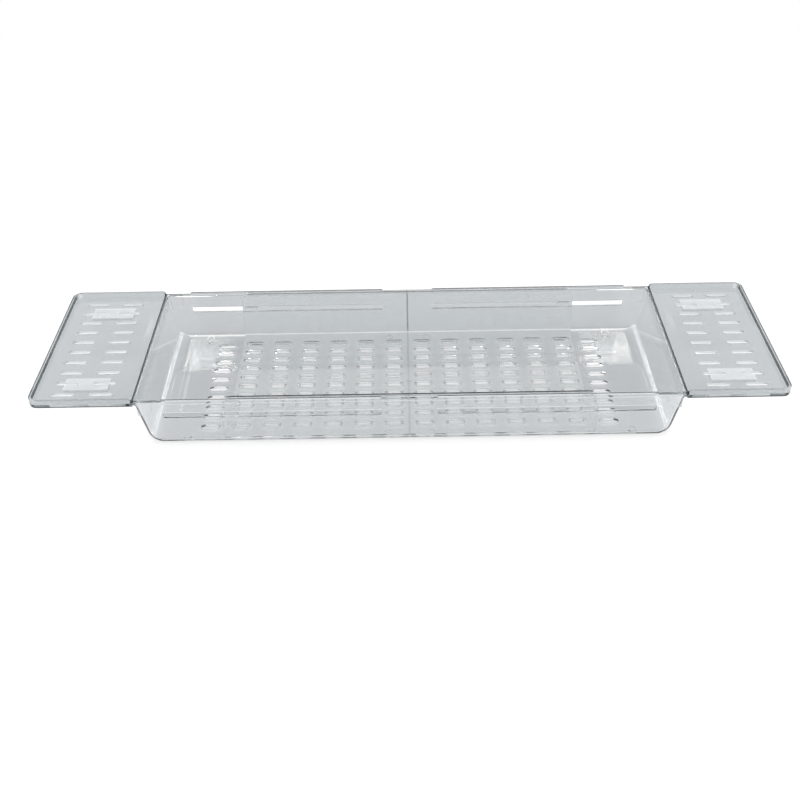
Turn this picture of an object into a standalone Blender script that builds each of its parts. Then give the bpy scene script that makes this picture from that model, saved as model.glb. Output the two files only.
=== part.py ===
"""Expandable bath caddy: two clear shells with wing shelves slide on a clear centre tray.

Run with: blender --background --python part.py
Units are metres, +Z is up, +X runs along the caddy, and the feet stand on z = 0.
The caddy is modelled pushed together, so the two shells meet in the middle.
"""

import math

import bmesh
import bpy
from mathutils import Matrix

# Driving sizes of the whole caddy, pushed together
OVERALL_LENGTH = 0.672
OVERALL_DEPTH = 0.190
WELL_LENGTH = 0.4848          # the opening between the two wings, at the rim
WELL_HEIGHT = 0.0485          # underside of the floor to the rim
SLIDE_TRAVEL = 0.127          # how far each shell pulls out

# Clearances
SLIDE_CLEARANCE = 0.00035     # between the centre tray and the shells
SEAT_GAP = 0.0003             # between faces that rest on each other
OVERRUN = 0.004               # how far a cutter passes the faces it cuts
WELD_DISTANCE = 0.00001

# Walls of the shells
WALL = 0.0022
END_LEAN = 0.0107             # how far an end wall leans in from the rim to the underside
SIDE_LEAN = 0.0039            # the same for a long wall
END_FLOOR_RADIUS = 0.014      # outside radius where an end wall runs into the floor
SIDE_FLOOR_RADIUS = 0.0045    # outside radius where a long wall runs into the floor
WELL_CORNER_RADIUS = 0.0060   # outside radius of the upright corners
FLANGE_WIDTH = 0.0015         # rim flange outside a long wall
END_CURB_WIDTH = 0.0024       # raised edge between the well and the wing
UNDER_WING_RADIUS = 0.0050    # hollow round between an end wall and the wing

# Wing shelves
WING_DROP = 0.0016            # the shelf's top below the rim
LIP_HEIGHT = 0.0034           # the shelf's lip above the rim
LIP_WIDTH = 0.0024
WING_CORNER_RADIUS = 0.0088
WING_SLOT_LENGTH = 0.0215
WING_SLOT_WIDTH = 0.0042
WING_SLOT_PITCH = 0.01737     # from one row of slots to the next
WING_SLOT_END_MARGIN = 0.0055 # plain strip before the first row, inside the lip
WING_SLOT_SPREAD = 0.0343     # from one column of slots to the other
WING_SLOT_OUTSET = 0.0440     # from the wing's outer edge to the middle of its slots

# Drain holes
HOLE_LENGTH = 0.0186
HOLE_WIDTH = 0.0068
HOLE_PITCH_X = 0.0281
HOLE_PITCH_Y = 0.0151
PLAIN_END = 0.0285            # floor without holes beside an end wall
PLAIN_SIDE = 0.0125           # floor without holes beside a long wall

# Rail and slot that guide the centre tray
SLOT_START = 0.025            # from the middle of the caddy to the slot
SLOT_END_INSET = 0.024        # from the slot to the well's end at the rim
SLOT_BELOW_RIM = 0.0132
SLOT_HEIGHT = 0.0056
SLOT_CORNER_RADIUS = 0.0010
RAIL_HEIGHT = 0.0020
RAIL_WIDTH = 0.0014
RAIL_INSET = 0.0003           # from the flange's outer edge to the rail

# Patches outside the long walls, at the well's corners
PATCH_LENGTH = 0.0130
PATCH_HEIGHT = 0.0125
PATCH_THICKNESS = 0.0008
PATCH_END_INSET = 0.0020      # from the patch to the well's end at the rim
PATCH_CORNER_RADIUS = 0.0060

# Feet under the floor
FOOT_DIAMETER = 0.0075
FOOT_HEIGHT = 0.0012
FOOT_FROM_MIDDLE = 0.0194     # inner pair, from the middle of the caddy
FOOT_FROM_END = 0.0402        # outer pair, from the well's end at the rim
FOOT_SIDE_INSET = 0.0113      # from the well's side at the rim

# Centre tray
TRAY_WALL = 0.0020
TRAY_END_BEYOND_TAB = 0.0030
TRAY_RIM_END_RADIUS = 0.0100  # rounded top corners of the tray's long walls
TRAY_HOLE_END_MARGIN = 0.0028
TRAY_EDGE_RADIUS = 0.0006     # along the outer top edge of the tray's rim
TAB_LENGTH = 0.01165
TAB_CLEARANCE = 0.0005        # above and below a tab in its slot
GATE_DIAMETER = 0.0050        # round moulding mark near the middle of the tray's floor
GATE_DEPTH = 0.0005
GATE_TO_FRONT = 0.0054        # from the caddy's long centre line to the mark

# Grip pads under the wings
PAD_LENGTH_SHARE = 0.439      # of the wing's length, from its curb to its outer edge
PAD_WIDTH = 0.018
PAD_THICKNESS = 0.0018
PAD_CORNER_RADIUS = 0.0020
PAD_SIDE_MARGIN = 0.0243      # from the wing's side to the pad's outer long edge

# Facets
CORNER_STEPS = 5
FLOOR_STEPS = 5
SMALL_STEPS = 3
FOOT_SIDES = 20
SHARP_ANGLE_DEG = 35

# Heights above the underside of the floor, and reaches from the middle
RIM = WELL_HEIGHT
LIP_TOP = RIM + LIP_HEIGHT
SHELF_TOP = RIM - WING_DROP
SHELF_UNDER = SHELF_TOP - WALL
FLANGE_UNDER = RIM - WALL
CAVITY_HALF_LENGTH = WELL_LENGTH / 2
SIDE_HALF_DEPTH = OVERALL_DEPTH / 2
WALL_HALF_DEPTH = SIDE_HALF_DEPTH - FLANGE_WIDTH
CAVITY_HALF_DEPTH = WALL_HALF_DEPTH - WALL
WING_END = OVERALL_LENGTH / 2
CURB_END = CAVITY_HALF_LENGTH + END_CURB_WIDTH
SEAM = SEAT_GAP / 2
SLOT_END = CAVITY_HALF_LENGTH - SLOT_END_INSET
SLOT_TOP = RIM - SLOT_BELOW_RIM
SLOT_BOTTOM = SLOT_TOP - SLOT_HEIGHT
TAB_START = SLOT_START + SLIDE_TRAVEL + SLIDE_CLEARANCE
TAB_END = TAB_START + TAB_LENGTH
TRAY_HALF_LENGTH = TAB_END + TRAY_END_BEYOND_TAB
TRAY_RIM_UNDER = RIM + SLIDE_CLEARANCE
TRAY_RIM_TOP = RIM + RAIL_HEIGHT
TRAY_RIM_HALF_DEPTH = SIDE_HALF_DEPTH - RAIL_INSET - RAIL_WIDTH - SLIDE_CLEARANCE
TRAY_UNDER = WALL + SLIDE_CLEARANCE
TRAY_FLOOR = TRAY_UNDER + TRAY_WALL
PAD_LENGTH = PAD_LENGTH_SHARE * (WING_END - CURB_END)
PAD_MIDDLE_X = (WING_END + CURB_END) / 2
PAD_MIDDLE_Y = SIDE_HALF_DEPTH - PAD_SIDE_MARGIN - PAD_WIDTH / 2


def arc(centre, radius, start_deg, end_deg, steps):
    """Points along an arc, both ends included."""
    points = []
    for step in range(steps + 1):
        angle = math.radians(start_deg + (end_deg - start_deg) * step / steps)
        points.append((centre[0] + radius * math.cos(angle), centre[1] + radius * math.sin(angle)))
    return points


def rounded_box(low, high, radii, steps):
    """A box outline, anticlockwise. radii are those of its low-low, high-low, high-high and low-high
    corners, and a radius of zero leaves a square corner."""
    corners = (
        (low[0], low[1], 1, 1, 180),
        (high[0], low[1], -1, 1, 270),
        (high[0], high[1], -1, -1, 0),
        (low[0], high[1], 1, -1, 90),
    )
    points = []
    for (x, y, side_x, side_y, start_deg), radius in zip(corners, radii):
        if radius == 0:
            points.append((x, y))
        else:
            centre = (x + side_x * radius, y + side_y * radius)
            points += arc(centre, radius, start_deg, start_deg + 90, steps)
    return points


def slot_outline(x, y, length, width):
    """A slot along X with round ends."""
    radius = width / 2
    straight = length / 2 - radius
    right = arc((x + straight, y), radius, -90, 90, SMALL_STEPS)
    left = arc((x - straight, y), radius, 90, 270, SMALL_STEPS)
    return right + left


def place(plane, offset):
    """The matrix that stands a flat outline in its plane, with its thickness centred on offset."""
    if plane == "XY":
        return Matrix.Translation((0, 0, offset))
    if plane == "XZ":
        return Matrix.Translation((0, offset, 0)) @ Matrix.Rotation(math.radians(90), 4, "X")
    turn = Matrix(((0, 0, 1, 0), (1, 0, 0, 0), (0, 1, 0, 0), (0, 0, 0, 1)))
    return Matrix.Translation((offset, 0, 0)) @ turn


def extruded(outlines, low, high, plane="XY"):
    """A bmesh of flat outlines that are filled and given a thickness from low to high."""
    curve = bpy.data.curves.new("outline", "CURVE")
    curve.dimensions = "2D"
    curve.fill_mode = "BOTH"
    curve.extrude = (high - low) / 2
    for outline in outlines:
        spline = curve.splines.new("POLY")
        spline.points.add(len(outline) - 1)
        for point, (u, v) in zip(spline.points, outline):
            point.co = (u, v, 0, 1)
        spline.use_cyclic_u = True
    holder = bpy.data.objects.new("outline", curve)
    bpy.context.scene.collection.objects.link(holder)
    holder.matrix_world = place(plane, (low + high) / 2)
    bpy.context.view_layer.update()
    evaluated = holder.evaluated_get(bpy.context.evaluated_depsgraph_get())
    mesh = bpy.data.meshes.new_from_object(evaluated)
    bm = bmesh.new()
    bm.from_mesh(mesh)
    bm.transform(holder.matrix_world)
    bmesh.ops.remove_doubles(bm, verts=bm.verts, dist=WELD_DISTANCE)
    bmesh.ops.recalc_face_normals(bm, faces=bm.faces)
    bpy.data.objects.remove(holder)
    bpy.data.curves.remove(curve)
    bpy.data.meshes.remove(mesh)
    return bm


def loft(rings):
    """A closed bmesh through rings that have equal numbers of points, lowest ring first."""
    bm = bmesh.new()
    rows = []
    for ring, height in rings:
        rows.append([bm.verts.new((x, y, height)) for x, y in ring])
    for lower, upper in zip(rows, rows[1:]):
        count = len(lower)
        for here in range(count):
            after = (here + 1) % count
            bm.faces.new((lower[here], lower[after], upper[after], upper[here]))
    bm.faces.new(list(reversed(rows[0])))
    bm.faces.new(rows[-1])
    bmesh.ops.recalc_face_normals(bm, faces=bm.faces)
    return bm


def disc(x, y, diameter, low, high):
    """A short upright cylinder."""
    bm = bmesh.new()
    middle = Matrix.Translation((x, y, (low + high) / 2))
    bmesh.ops.create_cone(
        bm, cap_ends=True, segments=FOOT_SIDES,
        radius1=diameter / 2, radius2=diameter / 2, depth=high - low, matrix=middle,
    )
    return bm


def gathered(pieces):
    """One bmesh that holds several separate bodies."""
    whole = bmesh.new()
    for piece in pieces:
        mesh = bpy.data.meshes.new("gathered")
        piece.to_mesh(mesh)
        whole.from_mesh(mesh)
        bpy.data.meshes.remove(mesh)
        piece.free()
    return whole


def as_object(bm, name, collection):
    mesh = bpy.data.meshes.new(name)
    bm.to_mesh(mesh)
    bm.free()
    piece = bpy.data.objects.new(name, mesh)
    collection.objects.link(piece)
    return piece


def as_cutter(bm, name, collection):
    cutter = as_object(bm, name, collection)
    cutter.hide_render = True
    cutter.display_type = "WIRE"
    return cutter


def boolean(piece, other, operation):
    modifier = piece.modifiers.new(other.name, "BOOLEAN")
    modifier.operation = operation
    modifier.solver = "EXACT"
    modifier.object = other


def applied(piece):
    """The piece's mesh with its modifiers applied."""
    bpy.context.view_layer.update()
    evaluated = piece.evaluated_get(bpy.context.evaluated_depsgraph_get())
    mesh = bpy.data.meshes.new_from_object(evaluated)
    piece.modifiers.clear()
    piece.data = mesh
    return piece


def shade(piece, material):
    piece.data.materials.clear()
    piece.data.materials.append(material)
    piece.data.shade_smooth()
    piece.data.set_sharp_from_angle(angle=math.radians(SHARP_ANGLE_DEG))


def clear_plastic(name, colour, roughness):
    material = bpy.data.materials.new(name)
    material.use_nodes = True
    shader = material.node_tree.nodes["Principled BSDF"]
    shader.inputs["Base Color"].default_value = (*colour, 1)
    shader.inputs["Roughness"].default_value = roughness
    shader.inputs["Metallic"].default_value = 0
    shader.inputs["Transmission Weight"].default_value = 1
    return material


def lean_angle(lean):
    return math.atan(lean / WELL_HEIGHT)


def wall_line(height, rim_reach, lean):
    """How far the straight part of a leaning wall reaches at a height."""
    return rim_reach - lean * (RIM - height) / RIM


def wall_reach(height, rim_reach, lean, floor, radius):
    """How far a leaning wall reaches at a height, with its round foot on the floor."""
    angle = lean_angle(lean)
    touch = floor + radius * (1 - math.sin(angle))
    if height >= touch:
        return wall_line(height, rim_reach, lean)
    centre = wall_line(touch, rim_reach, lean) - radius * math.cos(angle)
    below = floor + radius - height
    return centre + math.sqrt(max(radius * radius - below * below, 0))


def foot_heights(lean, floor, radius, steps):
    """The heights of the facets of a wall's round foot."""
    sweep = math.pi / 2 - lean_angle(lean)
    return [floor + radius * (1 - math.cos(sweep * step / steps)) for step in range(steps + 1)]


def outer_end(height):
    rim_reach = CAVITY_HALF_LENGTH + WALL
    return wall_reach(height, rim_reach, END_LEAN, 0, END_FLOOR_RADIUS)


def outer_side(height):
    return wall_reach(height, WALL_HALF_DEPTH, SIDE_LEAN, 0, SIDE_FLOOR_RADIUS)


def inner_end(height):
    return wall_reach(height, CAVITY_HALF_LENGTH, END_LEAN, WALL, END_FLOOR_RADIUS - WALL)


def inner_side(height):
    return wall_reach(height, CAVITY_HALF_DEPTH, SIDE_LEAN, WALL, SIDE_FLOOR_RADIUS - WALL)


def tray_outer_side(height):
    rim_reach = CAVITY_HALF_DEPTH - SLIDE_CLEARANCE
    radius = SIDE_FLOOR_RADIUS - WALL - SLIDE_CLEARANCE
    return wall_reach(height, rim_reach, SIDE_LEAN, TRAY_UNDER, radius)


def tray_inner_side(height):
    return wall_line(height, CAVITY_HALF_DEPTH - SLIDE_CLEARANCE - TRAY_WALL, SIDE_LEAN)


def merged_heights(*groups):
    """The heights of several groups in order, without near repeats."""
    heights = []
    for height in sorted(h for group in groups for h in group):
        if not heights or height - heights[-1] > SEAT_GAP / 2:
            heights.append(height)
    return heights


def well_ring(start, half_length, half_depth, corner_radius):
    """A level outline of half a well: square at its open end, round at its closed end."""
    low = (start, -half_depth)
    high = (half_length, half_depth)
    return rounded_box(low, high, (0, corner_radius, corner_radius, 0), CORNER_STEPS)


def well_body():
    """The outside of half the well, from the underside up into the rim flange and the curb."""
    heights = merged_heights(
        foot_heights(END_LEAN, 0, END_FLOOR_RADIUS, FLOOR_STEPS),
        foot_heights(SIDE_LEAN, 0, SIDE_FLOOR_RADIUS, SMALL_STEPS),
    )
    angle = lean_angle(END_LEAN)
    round_centre = SHELF_UNDER - UNDER_WING_RADIUS
    touch = round_centre + UNDER_WING_RADIUS * math.sin(angle)
    centre_reach = outer_end(touch) + UNDER_WING_RADIUS * math.cos(angle)
    rings = []
    for height in heights:
        ring = well_ring(SEAM, outer_end(height), outer_side(height), WELL_CORNER_RADIUS)
        rings.append((ring, height))
    for step in range(SMALL_STEPS + 1):
        turn = angle + (math.pi / 2 - angle) * step / SMALL_STEPS
        height = round_centre + UNDER_WING_RADIUS * math.sin(turn)
        reach = centre_reach - UNDER_WING_RADIUS * math.cos(turn)
        rings.append((well_ring(SEAM, reach, outer_side(height), WELL_CORNER_RADIUS), height))
    curb_reach = CURB_END - SEAT_GAP
    for height, reach in (
        (SHELF_UNDER + WALL / 3, centre_reach),
        (SHELF_UNDER + WALL / 2, curb_reach),
        (RIM - WALL / 2, curb_reach),
    ):
        rings.append((well_ring(SEAM, reach, outer_side(height), WELL_CORNER_RADIUS), height))
    return loft(rings)


def well_cavity():
    """The space inside half the well, past the open end and out through the rim."""
    inner_radius = WELL_CORNER_RADIUS - WALL
    heights = merged_heights(
        foot_heights(END_LEAN, WALL, END_FLOOR_RADIUS - WALL, FLOOR_STEPS),
        foot_heights(SIDE_LEAN, WALL, SIDE_FLOOR_RADIUS - WALL, SMALL_STEPS),
        (RIM + OVERRUN,),
    )
    rings = []
    for height in heights:
        ring = well_ring(-OVERRUN, inner_end(height), inner_side(height), inner_radius)
        rings.append((ring, height))
    return loft(rings)


def rim_flange():
    """The flat flange along the long walls, which ends as the curb beside the wing."""
    outline = rounded_box((SEAM, -SIDE_HALF_DEPTH), (CURB_END, SIDE_HALF_DEPTH), (0, 0, 0, 0), 1)
    return extruded([outline], FLANGE_UNDER, RIM)


def wing_blank():
    """The wing as a block as high as its lip."""
    start = CURB_END - END_CURB_WIDTH / 2
    radius = WING_CORNER_RADIUS
    outline = rounded_box(
        (start, -SIDE_HALF_DEPTH), (WING_END, SIDE_HALF_DEPTH), (0, radius, radius, 0), CORNER_STEPS,
    )
    return extruded([outline], SHELF_UNDER, LIP_TOP)


def wing_pocket():
    """What is cut from the block to leave the shelf and its lip."""
    radius = WING_CORNER_RADIUS - LIP_WIDTH
    reach = SIDE_HALF_DEPTH - LIP_WIDTH
    outline = rounded_box(
        (CAVITY_HALF_LENGTH, -reach), (WING_END - LIP_WIDTH, reach), (0, radius, radius, 0), CORNER_STEPS,
    )
    return extruded([outline], SHELF_TOP, LIP_TOP + OVERRUN)


def lip_end_trim():
    """Rounds the lip's two ends down to the rim."""
    start = CURB_END - END_CURB_WIDTH / 2
    foot = RIM + LIP_HEIGHT / 8
    centre = (start + LIP_HEIGHT, foot)
    top = LIP_TOP + OVERRUN
    outline = [(start - OVERRUN, foot)] + arc(centre, LIP_TOP - foot, 180, 90, CORNER_STEPS)
    outline += [(start + LIP_HEIGHT, top), (start - OVERRUN, top)]
    reach = SIDE_HALF_DEPTH + OVERRUN
    return extruded([outline], -reach, reach, "XZ")


def rails():
    """The raised rails on the rim flange, which guide the centre tray's rim."""
    high = SIDE_HALF_DEPTH - RAIL_INSET
    low = high - RAIL_WIDTH
    outlines = [
        rounded_box((SLOT_START, low), (SLOT_END, high), (0, 0, 0, 0), 1),
        rounded_box((SLOT_START, -high), (SLOT_END, -low), (0, 0, 0, 0), 1),
    ]
    return extruded(outlines, RIM - WALL / 2, TRAY_RIM_TOP)


def feet():
    across = CAVITY_HALF_DEPTH - FOOT_SIDE_INSET
    pieces = []
    for x in (FOOT_FROM_MIDDLE, CAVITY_HALF_LENGTH - FOOT_FROM_END):
        for y in (-across, across):
            pieces.append(disc(x, y, FOOT_DIAMETER, -FOOT_HEIGHT, WALL / 2))
    return pieces


def corner_patch(side):
    """A thin patch that lies on the leaning long wall under the flange."""
    end = CAVITY_HALF_LENGTH - PATCH_END_INSET
    bottom = FLANGE_UNDER - PATCH_HEIGHT
    outline = rounded_box(
        (end - PATCH_LENGTH, bottom), (end, FLANGE_UNDER + WALL / 2),
        (PATCH_CORNER_RADIUS, 0, 0, 0), CORNER_STEPS,
    )
    bm = extruded([outline], -WALL / 2, PATCH_THICKNESS, "XZ")
    for vert in bm.verts:
        outward = vert.co.y
        vert.co.y = side * (outer_side(vert.co.z) + outward)
    bmesh.ops.recalc_face_normals(bm, faces=bm.faces)
    return bm


def wall_slot():
    """Cuts the long slot through both long walls."""
    radius = SLOT_CORNER_RADIUS
    outline = rounded_box((SLOT_START, SLOT_BOTTOM), (SLOT_END, SLOT_TOP), (radius,) * 4, SMALL_STEPS)
    reach = SIDE_HALF_DEPTH + OVERRUN
    return extruded([outline], -reach, reach, "XZ")


def centred_rows(pitch, half_range):
    """Places at half a pitch either side of the middle, and on by whole pitches, within a range."""
    count = max(int(half_range / pitch + 1 / 2), 0)
    return [side * (row + 1 / 2) * pitch for side in (-1, 1) for row in range(count)]


def hole_rows():
    flat = inner_side(WALL) - PLAIN_SIDE - HOLE_WIDTH / 2
    return centred_rows(HOLE_PITCH_Y, flat)


def hole_columns(end):
    """Columns from the middle of the caddy outwards, whose holes end before the end given."""
    count = max(int((end - HOLE_LENGTH / 2) / HOLE_PITCH_X + 1 / 2), 0)
    return [(column + 1 / 2) * HOLE_PITCH_X for column in range(count)]


def drain_holes(columns, low, high):
    outlines = [slot_outline(x, y, HOLE_LENGTH, HOLE_WIDTH) for x in columns for y in hole_rows()]
    return extruded(outlines, low, high)


def wing_slots():
    middle = WING_END - WING_SLOT_OUTSET
    half_range = SIDE_HALF_DEPTH - LIP_WIDTH - WING_SLOT_END_MARGIN - WING_SLOT_WIDTH / 2
    outlines = []
    for x in (middle - WING_SLOT_SPREAD / 2, middle + WING_SLOT_SPREAD / 2):
        for y in centred_rows(WING_SLOT_PITCH, half_range):
            outlines.append(slot_outline(x, y, WING_SLOT_LENGTH, WING_SLOT_WIDTH))
    return extruded(outlines, SHELF_UNDER - OVERRUN, SHELF_TOP + OVERRUN)


def make_shell(parts, cutters):
    """The right-hand shell, with its heights counted from the underside of its floor."""
    shell = as_object(well_body(), "right_shell", parts)
    wing = as_cutter(wing_blank(), "wing", cutters)
    boolean(wing, as_cutter(wing_pocket(), "wing_pocket", cutters), "DIFFERENCE")
    boolean(shell, as_cutter(rim_flange(), "rim_flange", cutters), "UNION")
    boolean(shell, wing, "UNION")
    boolean(shell, as_cutter(well_cavity(), "well_cavity", cutters), "DIFFERENCE")
    added = gathered([rails(), corner_patch(-1), corner_patch(1)] + feet())
    boolean(shell, as_cutter(added, "rails_patches_and_feet", cutters), "UNION")
    columns = hole_columns(inner_end(WALL) - PLAIN_END)
    holes = drain_holes(columns, -OVERRUN, WALL + OVERRUN)
    cut = gathered([holes, wing_slots(), wall_slot(), lip_end_trim()])
    boolean(shell, as_cutter(cut, "holes_and_slots", cutters), "DIFFERENCE")
    return applied(shell)


def make_mirrored(source, name, parts):
    """The left-hand shell is the right-hand one mirrored across the middle."""
    bm = bmesh.new()
    bm.from_mesh(source.data)
    bm.transform(Matrix.Scale(-1, 4, (1, 0, 0)))
    bmesh.ops.reverse_faces(bm, faces=bm.faces)
    return as_object(bm, name, parts)


def tray_section():
    """The tray's section across the caddy: a channel with a rim turned out over the shells."""
    radius = SIDE_FLOOR_RADIUS - WALL - SLIDE_CLEARANCE
    outer_heights = foot_heights(SIDE_LEAN, TRAY_UNDER, radius, SMALL_STEPS) + [TRAY_RIM_UNDER]
    outer = [(tray_outer_side(height), height) for height in outer_heights]
    edge = TRAY_EDGE_RADIUS
    outer.append((TRAY_RIM_HALF_DEPTH, TRAY_RIM_UNDER))
    outer += arc((TRAY_RIM_HALF_DEPTH - edge, TRAY_RIM_TOP - edge), edge, 0, 90, SMALL_STEPS)
    inner = [(tray_inner_side(TRAY_RIM_TOP), TRAY_RIM_TOP), (tray_inner_side(TRAY_FLOOR), TRAY_FLOOR)]
    half = outer + inner
    return half + [(-y, z) for y, z in reversed(half)]


def tray_end_trim(side):
    """Rounds the top corners of the long walls at one end of the tray."""
    radius = TRAY_RIM_END_RADIUS
    centre = (TRAY_HALF_LENGTH - radius, TRAY_RIM_TOP - radius)
    outline = arc(centre, radius, 90, 0, CORNER_STEPS)
    beyond = TRAY_HALF_LENGTH + OVERRUN
    above = TRAY_RIM_TOP + OVERRUN
    outline += [(beyond, centre[1]), (beyond, above), (centre[0], above)]
    outline = [(side * x, z) for x, z in outline]
    reach = SIDE_HALF_DEPTH + OVERRUN
    return extruded([outline], -reach, reach, "XZ")


def tray_tabs():
    """The four stops that reach through the shells' slots."""
    low = SLOT_BOTTOM + TAB_CLEARANCE
    high = SLOT_TOP - TAB_CLEARANCE
    middle = (low + high) / 2
    start = tray_outer_side(middle) - TRAY_WALL / 2
    end = outer_side(middle)
    tabs = []
    for side_x in (-1, 1):
        ends = sorted((side_x * TAB_START, side_x * TAB_END))
        outline = rounded_box((ends[0], low), (ends[1], high), (SLOT_CORNER_RADIUS,) * 4, SMALL_STEPS)
        tabs.append(extruded([outline], start, end, "XZ"))
        tabs.append(extruded([outline], -end, -start, "XZ"))
    return tabs


def make_tray(parts, cutters):
    section = extruded([tray_section()], -TRAY_HALF_LENGTH, TRAY_HALF_LENGTH, "YZ")
    tray = as_object(section, "centre_tray", parts)
    boolean(tray, as_cutter(gathered(tray_tabs()), "tray_tabs", cutters), "UNION")
    columns = hole_columns(TRAY_HALF_LENGTH - TRAY_HOLE_END_MARGIN)
    both = [-x for x in columns] + columns
    holes = drain_holes(both, TRAY_UNDER - OVERRUN, TRAY_FLOOR + OVERRUN)
    gate = disc(0, -GATE_TO_FRONT, GATE_DIAMETER, TRAY_FLOOR - GATE_DEPTH, TRAY_FLOOR + OVERRUN)
    cut = gathered([holes, gate, tray_end_trim(-1), tray_end_trim(1)])
    boolean(tray, as_cutter(cut, "tray_holes_and_ends", cutters), "DIFFERENCE")
    return applied(tray)


def make_pad(name, parts):
    """A flat grip pad with its top face at its origin's height."""
    half_length = PAD_LENGTH / 2
    half_width = PAD_WIDTH / 2
    radii = (PAD_CORNER_RADIUS,) * 4
    outline = rounded_box((-half_length, -half_width), (half_length, half_width), radii, CORNER_STEPS)
    return as_object(extruded([outline], -PAD_THICKNESS, 0), name, parts)


def new_collection(name):
    collection = bpy.data.collections.new(name)
    bpy.context.scene.collection.children.link(collection)
    return collection


def carrier(name, parts):
    """An empty on the slide axis, at the height of the underside of the shells' floors."""
    empty = bpy.data.objects.new(name, None)
    empty.location = (0, 0, FOOT_HEIGHT)
    parts.objects.link(empty)
    return empty


def main():
    for leftover in list(bpy.data.objects):
        bpy.data.objects.remove(leftover)
    parts = new_collection("bath_caddy")
    cutters = new_collection("cutters")

    tray = make_tray(parts, cutters)
    right = make_shell(parts, cutters)
    left = make_mirrored(right, "left_shell", parts)

    tray.location = (0, 0, FOOT_HEIGHT)
    shade(tray, clear_plastic("clear_tray", (0.86, 0.89, 0.90), 0.05))
    sides = (
        ("left", -1, left, clear_plastic("clear_left_shell", (0.80, 0.84, 0.86), 0.06)),
        ("right", 1, right, clear_plastic("clear_right_shell", (0.80, 0.84, 0.86), 0.06)),
    )
    pad_z = SHELF_UNDER - SEAT_GAP
    for side_name, side, shell, material in sides:
        slide = carrier(side_name + "_slide", parts)
        shell.parent = slide
        shade(shell, material)
        for place_name, across in (("front", -1), ("back", 1)):
            name = side_name + "_" + place_name + "_grip_pad"
            pad = make_pad(name, parts)
            pad.parent = slide
            pad.location = (side * PAD_MIDDLE_X, across * PAD_MIDDLE_Y, pad_z)
            shade(pad, clear_plastic(name, (0.90, 0.91, 0.91), 0.45))


main()
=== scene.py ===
import math
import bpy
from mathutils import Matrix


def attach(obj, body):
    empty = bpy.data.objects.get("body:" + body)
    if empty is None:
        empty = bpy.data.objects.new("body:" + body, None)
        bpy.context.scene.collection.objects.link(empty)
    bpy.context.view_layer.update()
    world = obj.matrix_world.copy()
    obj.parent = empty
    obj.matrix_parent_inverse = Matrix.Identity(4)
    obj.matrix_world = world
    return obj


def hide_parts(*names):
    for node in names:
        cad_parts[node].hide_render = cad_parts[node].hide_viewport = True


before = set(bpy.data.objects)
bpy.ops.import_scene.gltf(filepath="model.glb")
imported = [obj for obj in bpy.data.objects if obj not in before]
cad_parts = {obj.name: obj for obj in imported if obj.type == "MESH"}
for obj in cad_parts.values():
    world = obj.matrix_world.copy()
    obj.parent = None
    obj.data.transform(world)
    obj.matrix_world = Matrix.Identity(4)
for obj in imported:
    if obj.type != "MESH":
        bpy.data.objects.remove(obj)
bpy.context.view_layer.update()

from types import SimpleNamespace

import bmesh
import bpy
from mathutils import Matrix, Vector

scene = bpy.context.scene

# Lengths are metres. Places on the caddy are counted from its middle, and heights from its feet.
# The camera, as fitted to straight edges and rows of holes
FOCAL_PIXELS = 1134.232
IMAGE_PIXELS = 800.0
SENSOR_MILLIMETRES = 36.0
CAMERA_PLACE = Vector((-0.003977, -0.905078, 0.624182))
CAMERA_PITCH = math.radians(35.398)
CAMERA_ROLL = math.radians(-1.087)
CAMERA_YAW = math.radians(-0.304)
CLIP_NEAR = 0.01
CLIP_FAR = 60.0

# Edges of the pieces: an edge is hard from the angle SHARP on, or from FACET on below FACET_HEIGHT
WELD = 0.000002
BEVEL = 0.00035
BEVEL_SEGMENTS = 2
FACE_WEIGHT = 100
SHARP = math.radians(38.0)
FACET = math.radians(25.0)
FACET_HEIGHT = 0.0050

# The stage: the floor turns from matt white into white light over FLOOR_GLOW, counted from the middle
FLOOR_REACH = 30.0
FLOOR_DROP = 0.0002
FLOOR_GLOW = (0.7, 1.3)
CEILING = (0.55, 0.555, 0.56)
CEILING_START = (0.60, 0.85)
WHITE = (1.0, 1.0, 1.0)

# Lamps, with angles in degrees: a sun, and panels that each have an azimuth from the camera's side, an
# elevation, a distance, a size, a power in watts and a colour
SUN_FROM = (0.05, -0.50, 0.75)
SUN_STRENGTH = 0.4
SUN_ANGLE = 40.0
TOP_PANEL = (0.0, 89.0, 2.0, (2.4, 1.0), 8.0, WHITE)
SIDE_PANELS = {
    "front_panel": (18.2, 42.3, 4.0, (0.30, 0.18), 8.5, (1.0, 0.97, 0.90)),
    "back_panel": (146.0, 8.0, 4.0, (1.5, 0.6), 13.0, WHITE),
    "warm_panel": (163.75, 31.6, 4.0, (0.08, 0.10), 0.075, (1.0, 0.96, 0.86)),
    "pale_panel": (164.9, 32.0, 4.0, (0.09, 0.07), 0.036, WHITE),
}

# Spots have a middle, how far they reach to each side of it, and the width over which they fade out
PAD_ALONG = (0.2904, 0.020, 0.0004)
PAD_ACROSS = (0.0617, 0.009, 0.0004)
SHELF_ALONG = (0.2900, 0.0430, 0.0004)
# The next four spots place painted shade lines at the curb, the lip's end, the wing's underside and the
# rim.
CURB_ALONG = (0.2438, 0.0010, 0.0002)
LIP_ALONG = (0.3353, 0.0003, 0.0002)
WING_UNDERSIDE = (0.0463, 0.0005, 0.0002)
RIM_ACROSS = (0.0894, 0.0004, 0.0002)
# The next two spots place painted highlights: a line just above the tray's floor and a ring at each
# outer foot.
SEAT_HIGHLIGHT_HEIGHT = (0.0061, 0.0004, 0.0001)
FOOT_HIGHLIGHT_RING = (0.0034, 0.0005, 0.0002)
FOOT_ALONG = 0.2022
FOOT_ACROSS = 0.0837

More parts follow.
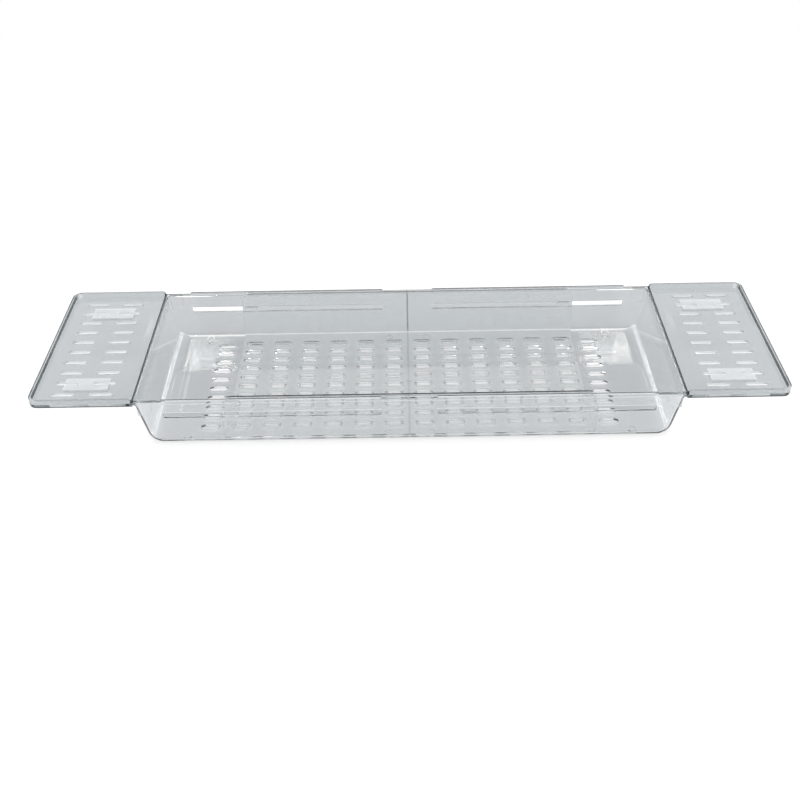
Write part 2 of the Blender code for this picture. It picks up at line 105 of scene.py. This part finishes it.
# Bands are where a fade starts and where it is complete, here along the caddy
WING_START = (0.2415, 0.2435)
PAST_TRAY = (0.159, 0.167)
END_WALL_START = (0.210, 0.216)
SHELL_ENDS = (0.2225, 0.2245)
TRAY_ENDS = (0.1615, 0.1630)
LIP_START = (0.25, 0.26)
CREST_FADE = (0.2400, 0.2440)
SEAM_ALONG = (0.0008, 0.0005)

# Bands across the caddy
LONG_SIDES = (0.068, 0.070)
LONG_WALLS = (0.070, 0.072)
SHELF_EDGE = (0.0926, 0.0920)
WING_SIDE = (0.0944, 0.0947)

# Bands of height
FLOOR_TOP = (0.0070, 0.0060)
ABOVE_SHELL_FLOOR = (0.0030, 0.0040)
FOOT_HIGHLIGHT_TOP = (0.016, 0.012)
SHADOW_FLOOR = (0.012, 0.006)
UNDER_RIM = (0.047, 0.045)
SHELL_CREST = (0.0456, 0.0460)
TRAY_CREST = (0.0484, 0.0487)
ABOVE_SHELF = (0.0484, 0.0488)
RIM_TOP = (0.0508, 0.0511)
LIP_TOP = (0.0526, 0.0529)

# Bands of the normal: its sizes, and how far it points outwards, away from the middle
UPRIGHT = (0.5, 0.35)
OFF_UPRIGHT = (0.30, 0.45)
OFF_LEVEL = (0.95, 0.85)
LONG_WALL = (0.25, 0.10)
END_FACE = (0.6, 0.8)
ROUNDED = (0.2, 0.4)
OUTWARD = (0.0, 0.1)
BIT_INWARD = (-0.1, -0.3)
INWARD = (-0.2, -0.5)
FULLY_INWARD = (-0.5, -0.7)

# Bands of how slantwise a face is seen, from 0 for head-on to 1
SLANT_ON_ROUNDS = (0.32, 0.52)
SLANT_ON_FACES = (0.72, 0.96)
SLANT_INSIDE = (0.22, 0.32)

# Counts of the surfaces that a ray has crossed are compared with these, to tell 0 from 1 and 1 from 2
CROSSED_ONE = 0.5
CROSSED_TWO = 1.5

# Clear plastic: how it bends and soaks up light, its fine surface, and how strong the slots' frost and
# some painted shade lines are
REFRACTION = 1.49
SOAK = 6.0
SOAK_TINT = (0.25, 0.34, 0.36)
HAZE_SCALE = 140.0
HAZE_DETAIL = 1.0
HAZE_BAND = (0.35, 0.75)
HAZE_ROUGHNESS = (0.010, 0.030)
WAVE_SCALE = 38.0
WAVE_DETAIL = 0.5
WAVE_STRENGTH = 0.10
WAVE_HEIGHT = 0.0002
SLOT_FROST_SHARE = 0.42
PAINTED_RIM_SHADE_SHARE = 0.35
WING_CREST_SHARE = 0.25

# Tints of the clear plastic by region
WING_TINT = (0.50, 0.525, 0.545)
WINDOW_TINT = (0.82, 0.84, 0.85)
SLOT_SIDE = (0.62, 0.64, 0.65)
SLOT_FROST = (0.76, 0.78, 0.79)
HOLE_SIDE = (0.84, 0.85, 0.855)
SHELL_INNER = (0.76, 0.78, 0.79)
SHELL_OUTER = (0.75, 0.77, 0.785)
FLOOR_OUTER = (0.64, 0.665, 0.68)
BACK_WALL = (0.375, 0.395, 0.41)
END_WALL = (0.40, 0.42, 0.43)
TRAY_TINT = (0.72, 0.745, 0.755)
TRAY_WALL = (0.42, 0.44, 0.455)
LATER_TINT = (0.97, 0.975, 0.975)
# Painted shade: near-black for the edge lines and for the rim's crest, standing in for the darkness that
# bent light shows at edges of clear plastic.
PAINTED_EDGE_SHADE = (0.004, 0.006, 0.006)
PAINTED_CREST_SHADE = (0.02, 0.025, 0.025)
SEAM_TINT = (0.20, 0.23, 0.24)
FLOOR_SEAM = (0.70, 0.72, 0.73)
WING_SHADOW = (0.97, 0.97, 0.97)
WALL_SHADOW = (0.82, 0.825, 0.83)
FLOOR_SHADOW = (0.66, 0.665, 0.67)
LATER_SHADOW = (0.99, 0.99, 0.99)

# The milky pads
PAD_DARK = (0.74, 0.75, 0.755)
PAD_PALE = (0.84, 0.85, 0.855)
PAD_CLOUD_SCALE = 120.0
PAD_CLOUD_DETAIL = 3.0
PAD_GRAIN_SCALE = 700.0
PAD_GRAIN_DETAIL = 4.0
PAD_BAND = (0.3, 0.7)
PAD_ROUGHNESS = (0.45, 0.70)
PAD_BUMP_STRENGTH = 0.5
PAD_BUMP_HEIGHT = 0.0002

# Bounces are high because a ray crosses many walls of clear plastic
MOST_BOUNCES = 48
GLOSSY_BOUNCES = 32


def make_camera():
    data = bpy.data.cameras.new("photo_camera")
    data.sensor_width = SENSOR_MILLIMETRES
    data.lens = FOCAL_PIXELS / IMAGE_PIXELS * data.sensor_width
    data.clip_start = CLIP_NEAR
    data.clip_end = CLIP_FAR
    camera = bpy.data.objects.new("photo_camera", data)
    scene.collection.objects.link(camera)
    ahead = Vector((math.sin(CAMERA_YAW) * math.cos(CAMERA_PITCH),
                    math.cos(CAMERA_YAW) * math.cos(CAMERA_PITCH), -math.sin(CAMERA_PITCH)))
    level = Vector((math.cos(CAMERA_YAW), -math.sin(CAMERA_YAW), 0.0))
    above = level.cross(ahead)
    right = level * math.cos(CAMERA_ROLL) + above * math.sin(CAMERA_ROLL)
    up = above * math.cos(CAMERA_ROLL) - level * math.sin(CAMERA_ROLL)
    turn = Matrix((right, up, -ahead)).transposed()
    camera.matrix_world = Matrix.Translation(CAMERA_PLACE) @ turn.to_4x4()
    scene.camera = camera


# Nodes
def new_material(name):
    material = bpy.data.materials.new(name)
    material.use_nodes = True
    tree = material.node_tree
    shader = next(item for item in tree.nodes if item.type == "BSDF_PRINCIPLED")
    return material, tree, shader


def output_of(tree):
    return next(item for item in tree.nodes if item.type == "OUTPUT_MATERIAL")


def node(tree, kind, **settings):
    made = tree.nodes.new(kind)
    for key, value in settings.items():
        setattr(made, key, value)
    return made


def math_node(tree, operation, first, second=None):
    made = node(tree, "ShaderNodeMath", operation=operation)
    for index, value in enumerate((first, second)):
        if value is None:
            continue
        if isinstance(value, (int, float)):
            made.inputs[index].default_value = value
        else:
            tree.links.new(value, made.inputs[index])
    return made.outputs[0]


def times(tree, first, *others):
    for other in others:
        first = math_node(tree, "MULTIPLY", first, other)
    return first


def highest(tree, first, *others):
    for other in others:
        first = math_node(tree, "MAXIMUM", first, other)
    return first


def rest_of(tree, value):
    return math_node(tree, "SUBTRACT", 1.0, value)


def fade(tree, value, band, first=0.0, last=1.0):
    """Goes from first, at the start of the band and before it, to last, at its end and past it."""
    rising = band[0] < band[1]
    made = node(tree, "ShaderNodeMapRange", interpolation_type="SMOOTHSTEP")
    tree.links.new(value, made.inputs["Value"])
    made.inputs["From Min"].default_value = min(band)
    made.inputs["From Max"].default_value = max(band)
    made.inputs["To Min"].default_value = first if rising else last
    made.inputs["To Max"].default_value = last if rising else first
    return made.outputs["Result"]


def near(tree, value, spot):
    """1 where the value is inside the spot, falling to 0 beside it."""
    middle, half, soft = spot
    away = math_node(tree, "ABSOLUTE", math_node(tree, "SUBTRACT", value, middle))
    return fade(tree, away, (half + soft, half))


def mix_colour(tree, factor, first, second):
    made = node(tree, "ShaderNodeMix", data_type="RGBA")
    tree.links.new(factor, made.inputs[0])
    for index, value in ((6, first), (7, second)):
        if isinstance(value, tuple):
            made.inputs[index].default_value = (*value, 1.0)
        else:
            tree.links.new(value, made.inputs[index])
    return made.outputs[2]


def mix_shaders(tree, factor, first, second):
    made = node(tree, "ShaderNodeMixShader")
    for index, value in enumerate((factor, first, second)):
        tree.links.new(value, made.inputs[index])
    return made.outputs[0]


def diffuse(tree, tint):
    made = node(tree, "ShaderNodeBsdfDiffuse")
    made.inputs["Color"].default_value = (*tint, 1.0)
    return made.outputs[0]


def noise(tree, scale, detail):
    where = node(tree, "ShaderNodeTexCoord")
    made = node(tree, "ShaderNodeTexNoise")
    made.inputs["Scale"].default_value = scale
    made.inputs["Detail"].default_value = detail
    tree.links.new(where.outputs["Object"], made.inputs["Vector"])
    return made.outputs[0]


def add_bump(tree, shader, height, strength, distance):
    bump = node(tree, "ShaderNodeBump")
    bump.inputs["Strength"].default_value = strength
    bump.inputs["Distance"].default_value = distance
    tree.links.new(height, bump.inputs["Height"])
    tree.links.new(bump.outputs[0], shader.inputs["Normal"])


# Pieces
def welded_mesh(name, source):
    """The node's mesh with its doubled corners joined, and hard edges only where faces meet sharply."""
    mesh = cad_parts[source].data.copy()
    mesh.name = name
    if "custom_normal" in mesh.attributes:
        mesh.attributes.remove(mesh.attributes["custom_normal"])
    bm = bmesh.new()
    bm.from_mesh(mesh)
    bmesh.ops.remove_doubles(bm, verts=bm.verts, dist=WELD)
    for face in bm.faces:
        face.smooth = True
    for edge in bm.edges:
        limit = FACET if max(vert.co.z for vert in edge.verts) < FACET_HEIGHT else SHARP
        edge.smooth = not edge.is_manifold or edge.calc_face_angle(0.0) < limit
    bm.to_mesh(mesh)
    bm.free()
    return mesh


def round_edges(piece):
    rounding = piece.modifiers.new("edge_round", "BEVEL")
    rounding.width = BEVEL
    rounding.segments = BEVEL_SEGMENTS
    rounding.limit_method = "ANGLE"
    rounding.angle_limit = SHARP
    rounding.use_clamp_overlap = True
    weighted = piece.modifiers.new("even_normals", "WEIGHTED_NORMAL")
    weighted.keep_sharp = True
    weighted.weight = FACE_WEIGHT


def clean_copy(name, source, body, material):
    """A piece in place of a CAD node: the same shape with rounded edges, in a material."""
    made = bpy.data.objects.new(name, welded_mesh(name, source))
    scene.collection.objects.link(made)
    round_edges(made)
    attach(made, body)
    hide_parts(source)
    made.data.materials.clear()
    made.data.materials.append(material)
    return made


# Clear plastic
def landing(tree):
    """Sockets about the point where a ray lands and about the ray, which the plastic's parts share.

    along, across and height say where the point is, and lean_x, lean_y and lean_z are the sizes of the
    normal. outward is above 0 where the normal points away from the middle. leaving is 1 where a ray
    inside the plastic meets its face. entering is 1 on the first surface that a ray crosses, and deep
    is 1 from the third one on."""
    where = node(tree, "ShaderNodeTexCoord")
    spot = node(tree, "ShaderNodeSeparateXYZ")
    tree.links.new(where.outputs["Object"], spot.inputs[0])
    normal = node(tree, "ShaderNodeSeparateXYZ")
    tree.links.new(where.outputs["Normal"], normal.inputs[0])
    path = node(tree, "ShaderNodeLightPath")
    crossed = path.outputs["Transmission Depth"]
    out_x = times(tree, normal.outputs[0], math_node(tree, "SIGN", spot.outputs[0]))
    out_y = times(tree, normal.outputs[1], math_node(tree, "SIGN", spot.outputs[1]))
    lean_z = math_node(tree, "ABSOLUTE", normal.outputs[2])
    return SimpleNamespace(
        along=math_node(tree, "ABSOLUTE", spot.outputs[0]),
        across=math_node(tree, "ABSOLUTE", spot.outputs[1]),
        height=spot.outputs[2],
        lean_x=math_node(tree, "ABSOLUTE", normal.outputs[0]),
        lean_y=math_node(tree, "ABSOLUTE", normal.outputs[1]),
        lean_z=lean_z,
        outward=math_node(tree, "ADD", out_x, out_y),
        upright=fade(tree, lean_z, UPRIGHT),
        low=fade(tree, spot.outputs[2], FLOOR_TOP),
        facing=node(tree, "ShaderNodeLayerWeight").outputs["Facing"],
        leaving=node(tree, "ShaderNodeNewGeometry").outputs["Backfacing"],
        entering=math_node(tree, "LESS_THAN", crossed, CROSSED_ONE),
        deep=math_node(tree, "GREATER_THAN", crossed, CROSSED_TWO),
        path=path,
    )


def inner_wall(tree, at):
    """The walls' faces that look into the well, where a ray from outside the plastic lands on them."""
    return times(tree, fade(tree, at.outward, INWARD), at.upright, at.entering)


def sides_and_ends(tree, at, ends):
    """The parts that get painted shade outlines: beyond the long rows of drain holes, and at the ends.
    """
    return highest(tree, fade(tree, at.across, LONG_SIDES), fade(tree, at.along, ends))


def hole_sides(tree, at, outside):
    """The upright faces low down between those parts, which are the drain holes' sides."""
    return times(tree, rest_of(tree, outside), times(tree, at.upright, at.low))


def painted_foot_highlight(tree, at):
    """A painted highlight: a light ring at the edge of each outer foot."""
    away_x = math_node(tree, "SUBTRACT", at.along, FOOT_ALONG)
    away_y = math_node(tree, "SUBTRACT", at.across, FOOT_ACROSS)
    square = math_node(tree, "ADD", times(tree, away_x, away_x), times(tree, away_y, away_y))
    return times(tree, near(tree, math_node(tree, "SQRT", square), FOOT_HIGHLIGHT_RING), at.low)


def painted_wall_foot_highlight(tree, at):
    """A painted highlight: a light line at the foot of the long walls, on the inside."""
    sloping = times(tree, fade(tree, at.lean_z, OFF_UPRIGHT), fade(tree, at.lean_z, OFF_LEVEL))
    place = times(tree, fade(tree, at.outward, BIT_INWARD), fade(tree, at.height, FOOT_HIGHLIGHT_TOP))
    along_wall = fade(tree, at.lean_x, LONG_WALL)
    return times(tree, sloping, place, fade(tree, at.across, LONG_WALLS), along_wall)


def painted_seat_highlight(tree, at):
    """A painted highlight: a light line just above the tray's floor, beside its long walls."""
    seat = times(tree, near(tree, at.height, SEAT_HIGHLIGHT_HEIGHT), fade(tree, at.across, LONG_WALLS))
    return times(tree, seat, fade(tree, at.outward, BIT_INWARD))


def painted_outline_shade(tree, at, outside):
    """Painted shade lines where the walls' rounded corners and feet, or any face, are seen slantwise,
    standing in for the darkness that bent light shows at edges.
    """
    corner = times(tree, fade(tree, at.lean_x, ROUNDED), fade(tree, at.lean_y, ROUNDED))
    level = highest(tree, at.lean_x, at.lean_y)
    foot = times(tree, fade(tree, at.lean_z, ROUNDED), fade(tree, level, ROUNDED))
    rounded = times(tree, highest(tree, corner, foot), fade(tree, at.outward, OUTWARD))
    slant = fade(tree, at.facing, SLANT_ON_ROUNDS)
    line = times(tree, rounded, slant, fade(tree, at.height, UNDER_RIM))
    line = highest(tree, line, fade(tree, at.facing, SLANT_ON_FACES))
    return times(tree, line, outside)


def painted_shell_shade_lines(tree, at):
    """Painted shade lines on the wing: the inner side and the top edge of its lip's end, the lower edge
    of its front and back sides, and the curb between it and the well."""
    above = fade(tree, at.height, ABOVE_SHELF)
    end_face = times(tree, fade(tree, at.lean_x, END_FACE), above)
    lip_side = times(tree, fade(tree, at.outward, FULLY_INWARD), end_face)
    lip_side = times(tree, lip_side, fade(tree, at.along, LIP_START))
    lip_edge = times(tree, near(tree, at.along, LIP_ALONG), fade(tree, at.height, LIP_TOP))
    lower_edge = times(tree, near(tree, at.height, WING_UNDERSIDE), fade(tree, at.across, WING_SIDE))
    curb = times(tree, near(tree, at.along, CURB_ALONG), above)
    return lip_side, lip_edge, lower_edge, curb


def painted_rim_shade_line(tree, at):
    """A faint painted shade line on the inner edge of the tray's rim."""
    edge = times(tree, fade(tree, at.height, RIM_TOP), near(tree, at.across, RIM_ACROSS))
    return times(tree, edge, PAINTED_RIM_SHADE_SHARE)


def shell_tint(tree, at, wing, window, slot_side):
    """The shell's tint by region: beside the tray and past it, the walls that face the well, the wing,
    the windows over the pads, a painted highlight ring at the feet, and the sides of the shelf's slots."""
    outer = mix_colour(tree, at.low, SHELL_OUTER, FLOOR_OUTER)
    colour = mix_colour(tree, fade(tree, at.along, PAST_TRAY), SHELL_INNER, outer)
    far = mix_colour(tree, fade(tree, at.along, END_WALL_START), BACK_WALL, END_WALL)
    wall = times(tree, inner_wall(tree, at), fade(tree, at.height, ABOVE_SHELL_FLOOR))
    colour = mix_colour(tree, wall, colour, far)
    colour = mix_colour(tree, wing, colour, WING_TINT)
    colour = mix_colour(tree, window, colour, WINDOW_TINT)
    # Painted highlight: the feet's ring is left clear of tint, so it shows as light.
    colour = mix_colour(tree, painted_foot_highlight(tree, at), colour, WHITE)
    return mix_colour(tree, slot_side, colour, SLOT_SIDE)


def marked_colour(tree, at, colour, painted_highlights, outside, painted_shade_lines):
    """The tint with the painted highlight lines, the holes' sides and the painted shade lines laid over
    it.
    """
    colour = mix_colour(tree, painted_highlights, colour, WHITE)
    colour = mix_colour(tree, hole_sides(tree, at, outside), colour, HOLE_SIDE)
    colour = mix_colour(tree, times(tree, painted_shade_lines, at.entering), colour, PAINTED_EDGE_SHADE)
    return mix_colour(tree, at.deep, colour, LATER_TINT)


def moulded_surface(tree, shader):
    """A slightly uneven gloss and a faint waviness."""
    haze = noise(tree, HAZE_SCALE, HAZE_DETAIL)
    tree.links.new(fade(tree, haze, HAZE_BAND, *HAZE_ROUGHNESS), shader.inputs["Roughness"])
    add_bump(tree, shader, noise(tree, WAVE_SCALE, WAVE_DETAIL), WAVE_STRENGTH, WAVE_HEIGHT)


def shadow_tint(tree, at):
    return mix_colour(tree, fade(tree, at.height, SHADOW_FLOOR), WALL_SHADOW, FLOOR_SHADOW)


def start_plastic(name):
    material, tree, shader = new_material(name)
    shader.inputs["Transmission Weight"].default_value = 1.0
    shader.inputs["IOR"].default_value = REFRACTION
    moulded_surface(tree, shader)
    at = landing(tree)
    passed = math_node(tree, "GREATER_THAN", at.path.outputs["Transparent Depth"], CROSSED_ONE)
    return material, tree, shader, at, passed


def finish_plastic(tree, at, surface, crest, cast, passed):
    """Adds a painted shade line along the rim's crest, where a ray inside the plastic meets it at a
    slant, and lets shadow and diffuse rays go straight through. cast tints these, but hardly where
    passed is 1."""
    inside = times(tree, at.leaving, fade(tree, at.facing, SLANT_INSIDE))
    crest = times(tree, crest, at.upright, fade(tree, at.across, LONG_WALLS))
    # Painted shade: a near-black diffuse where a ray inside the plastic meets the crest at a slant.
    lined = mix_shaders(tree, times(tree, inside, crest), surface, diffuse(tree, PAINTED_CREST_SHADE))
    clear = node(tree, "ShaderNodeBsdfTransparent")
    tree.links.new(mix_colour(tree, passed, cast, LATER_SHADOW), clear.inputs["Color"])
    shared = highest(tree, at.path.outputs["Is Shadow Ray"], at.path.outputs["Is Diffuse Ray"])
    output = output_of(tree)
    tree.links.new(mix_shaders(tree, shared, lined, clear.outputs[0]), output.inputs["Surface"])
    soak = node(tree, "ShaderNodeVolumeAbsorption")
    soak.inputs["Color"].default_value = (*SOAK_TINT, 1.0)
    soak.inputs["Density"].default_value = SOAK
    tree.links.new(soak.outputs[0], output.inputs["Volume"])


def shell_plastic():
    material, tree, shader, at, passed = start_plastic("shell_clear")
    wing = fade(tree, at.along, WING_START)
    window = times(tree, near(tree, at.along, PAD_ALONG), near(tree, at.across, PAD_ACROSS))
    shelf = times(tree, near(tree, at.along, SHELF_ALONG), fade(tree, at.across, SHELF_EDGE))
    slot_side = times(tree, shelf, at.upright)
    outside = times(tree, sides_and_ends(tree, at, SHELL_ENDS), rest_of(tree, shelf))
    colour = shell_tint(tree, at, wing, window, slot_side)
    # Painted shade lines at the edges; below, painted highlights at the long walls' feet.
    painted_shade_lines = highest(tree, painted_outline_shade(tree, at, outside), *painted_shell_shade_lines(tree, at))
    colour = marked_colour(tree, at, colour, painted_wall_foot_highlight(tree, at), outside, painted_shade_lines)
    seam = times(tree, fade(tree, at.along, SEAM_ALONG), at.deep)
    colour = mix_colour(tree, seam, colour, mix_colour(tree, at.low, SEAM_TINT, FLOOR_SEAM))
    tree.links.new(colour, shader.inputs["Base Color"])
    frost = times(tree, slot_side, SLOT_FROST_SHARE)
    surface = mix_shaders(tree, frost, shader.outputs[0], diffuse(tree, SLOT_FROST))
    crest = times(tree, fade(tree, at.height, SHELL_CREST), fade(tree, at.outward, FULLY_INWARD))
    crest = times(tree, crest, fade(tree, at.along, CREST_FADE, 1.0, WING_CREST_SHARE))
    cast = mix_colour(tree, wing, shadow_tint(tree, at), WING_SHADOW)
    finish_plastic(tree, at, surface, crest, cast, highest(tree, passed, window))
    return material


def tray_plastic():
    material, tree, shader, at, passed = start_plastic("tray_clear")
    outside = sides_and_ends(tree, at, TRAY_ENDS)
    colour = mix_colour(tree, inner_wall(tree, at), TRAY_TINT, TRAY_WALL)
    # Painted shade lines at the edges, and painted highlights at the walls' feet and beside the tray's
    # floor.
    painted_shade_lines = highest(tree, painted_outline_shade(tree, at, outside), painted_rim_shade_line(tree, at))
    painted_highlights = highest(tree, painted_wall_foot_highlight(tree, at), painted_seat_highlight(tree, at))
    colour = marked_colour(tree, at, colour, painted_highlights, outside, painted_shade_lines)
    tree.links.new(colour, shader.inputs["Base Color"])
    crest = fade(tree, at.height, TRAY_CREST)
    finish_plastic(tree, at, shader.outputs[0], crest, shadow_tint(tree, at), passed)
    return material


def pad_material():
    material, tree, shader = new_material("grip_pad_milky")
    cloud = fade(tree, noise(tree, PAD_CLOUD_SCALE, PAD_CLOUD_DETAIL), PAD_BAND)
    tree.links.new(mix_colour(tree, cloud, PAD_DARK, PAD_PALE), shader.inputs["Base Color"])
    grain = noise(tree, PAD_GRAIN_SCALE, PAD_GRAIN_DETAIL)
    tree.links.new(fade(tree, grain, PAD_BAND, *PAD_ROUGHNESS), shader.inputs["Roughness"])
    add_bump(tree, shader, grain, PAD_BUMP_STRENGTH, PAD_BUMP_HEIGHT)
    return material


# Stage and light
def floor_material():
    material, tree, shader = new_material("floor_white")
    shader.inputs["Base Color"].default_value = (*WHITE, 1.0)
    shader.inputs["Roughness"].default_value = 1.0
    shader.inputs["Specular IOR Level"].default_value = 0.0
    where = node(tree, "ShaderNodeTexCoord")
    reach = node(tree, "ShaderNodeVectorMath", operation="LENGTH")
    tree.links.new(where.outputs["Object"], reach.inputs[0])
    path = node(tree, "ShaderNodeLightPath")
    rays = ("Is Camera Ray", "Is Glossy Ray", "Is Transmission Ray")
    seen = highest(tree, *(path.outputs[ray] for ray in rays))
    glow = node(tree, "ShaderNodeEmission")
    glowing = times(tree, seen, fade(tree, reach.outputs["Value"], FLOOR_GLOW))
    mixed = mix_shaders(tree, glowing, shader.outputs[0], glow.outputs[0])
    tree.links.new(mixed, output_of(tree).inputs["Surface"])
    return material


def make_stage():
    bm = bmesh.new()
    bmesh.ops.create_grid(bm, x_segments=1, y_segments=1, size=FLOOR_REACH)
    mesh = bpy.data.meshes.new("floor")
    bm.to_mesh(mesh)
    bm.free()
    floor = bpy.data.objects.new("floor", mesh)
    scene.collection.objects.link(floor)
    floor.location.z = -FLOOR_DROP
    mesh.materials.append(floor_material())


def make_world():
    world = bpy.data.worlds.new("studio")
    scene.world = world
    world.use_nodes = True
    tree = world.node_tree
    tree.nodes.clear()
    where = node(tree, "ShaderNodeTexCoord")
    split = node(tree, "ShaderNodeSeparateXYZ")
    tree.links.new(where.outputs["Generated"], split.inputs[0])
    high = fade(tree, split.outputs[2], CEILING_START)
    background = node(tree, "ShaderNodeBackground")
    tree.links.new(mix_colour(tree, high, WHITE, CEILING), background.inputs["Color"])
    output = node(tree, "ShaderNodeOutputWorld")
    tree.links.new(background.outputs[0], output.inputs["Surface"])


def make_sun(name, coming_from, strength, angle):
    data = bpy.data.lights.new(name, "SUN")
    data.energy = strength
    data.angle = math.radians(angle)
    lamp = bpy.data.objects.new(name, data)
    scene.collection.objects.link(lamp)
    lamp.rotation_mode = "QUATERNION"
    lamp.rotation_quaternion = (-Vector(coming_from)).to_track_quat("-Z", "Y")
    lamp.visible_glossy = False
    lamp.visible_transmission = False


def make_panel(name, azimuth, elevation, away, size, power, colour):
    """A flat lamp that faces the middle of the object."""
    data = bpy.data.lights.new(name, "AREA")
    data.shape = "RECTANGLE"
    data.size, data.size_y = size
    data.energy = power
    data.color = colour
    lamp = bpy.data.objects.new(name, data)
    scene.collection.objects.link(lamp)
    turn = math.radians(azimuth)
    rise = math.radians(elevation)
    towards = Vector((math.sin(turn) * math.cos(rise), -math.cos(turn) * math.cos(rise), math.sin(rise)))
    lamp.location = towards * away
    lamp.rotation_mode = "QUATERNION"
    lamp.rotation_quaternion = towards.to_track_quat("Z", "Y")


def make_lights():
    make_sun("front_key", SUN_FROM, SUN_STRENGTH, SUN_ANGLE)
    make_panel("top_panel", *TOP_PANEL)
    for side in (-1, 1):
        for name, (azimuth, *others) in SIDE_PANELS.items():
            make_panel(name, side * azimuth, *others)


def place_pieces():
    shell_material = shell_plastic()
    tray_material = tray_plastic()
    milky = pad_material()
    for side in ("left", "right"):
        shell = clean_copy(side + "_shell_clear", side + "_shell", side + "_end", shell_material)
        for place in ("front", "back"):
            pad_name = side + "_" + place + "_grip_pad"
            pad = clean_copy(pad_name + "_soft", pad_name, side + "_end", milky)
    tray = clean_copy("centre_tray_clear", "centre_tray", "centre_tray", tray_material)


def set_rays():
    scene.cycles.max_bounces = MOST_BOUNCES
    scene.cycles.transmission_bounces = MOST_BOUNCES
    scene.cycles.glossy_bounces = GLOSSY_BOUNCES
    scene.cycles.transparent_max_bounces = MOST_BOUNCES


make_camera()
make_stage()
make_world()
make_lights()
place_pieces()
set_rays()
scene.view_settings.view_transform = "Standard"
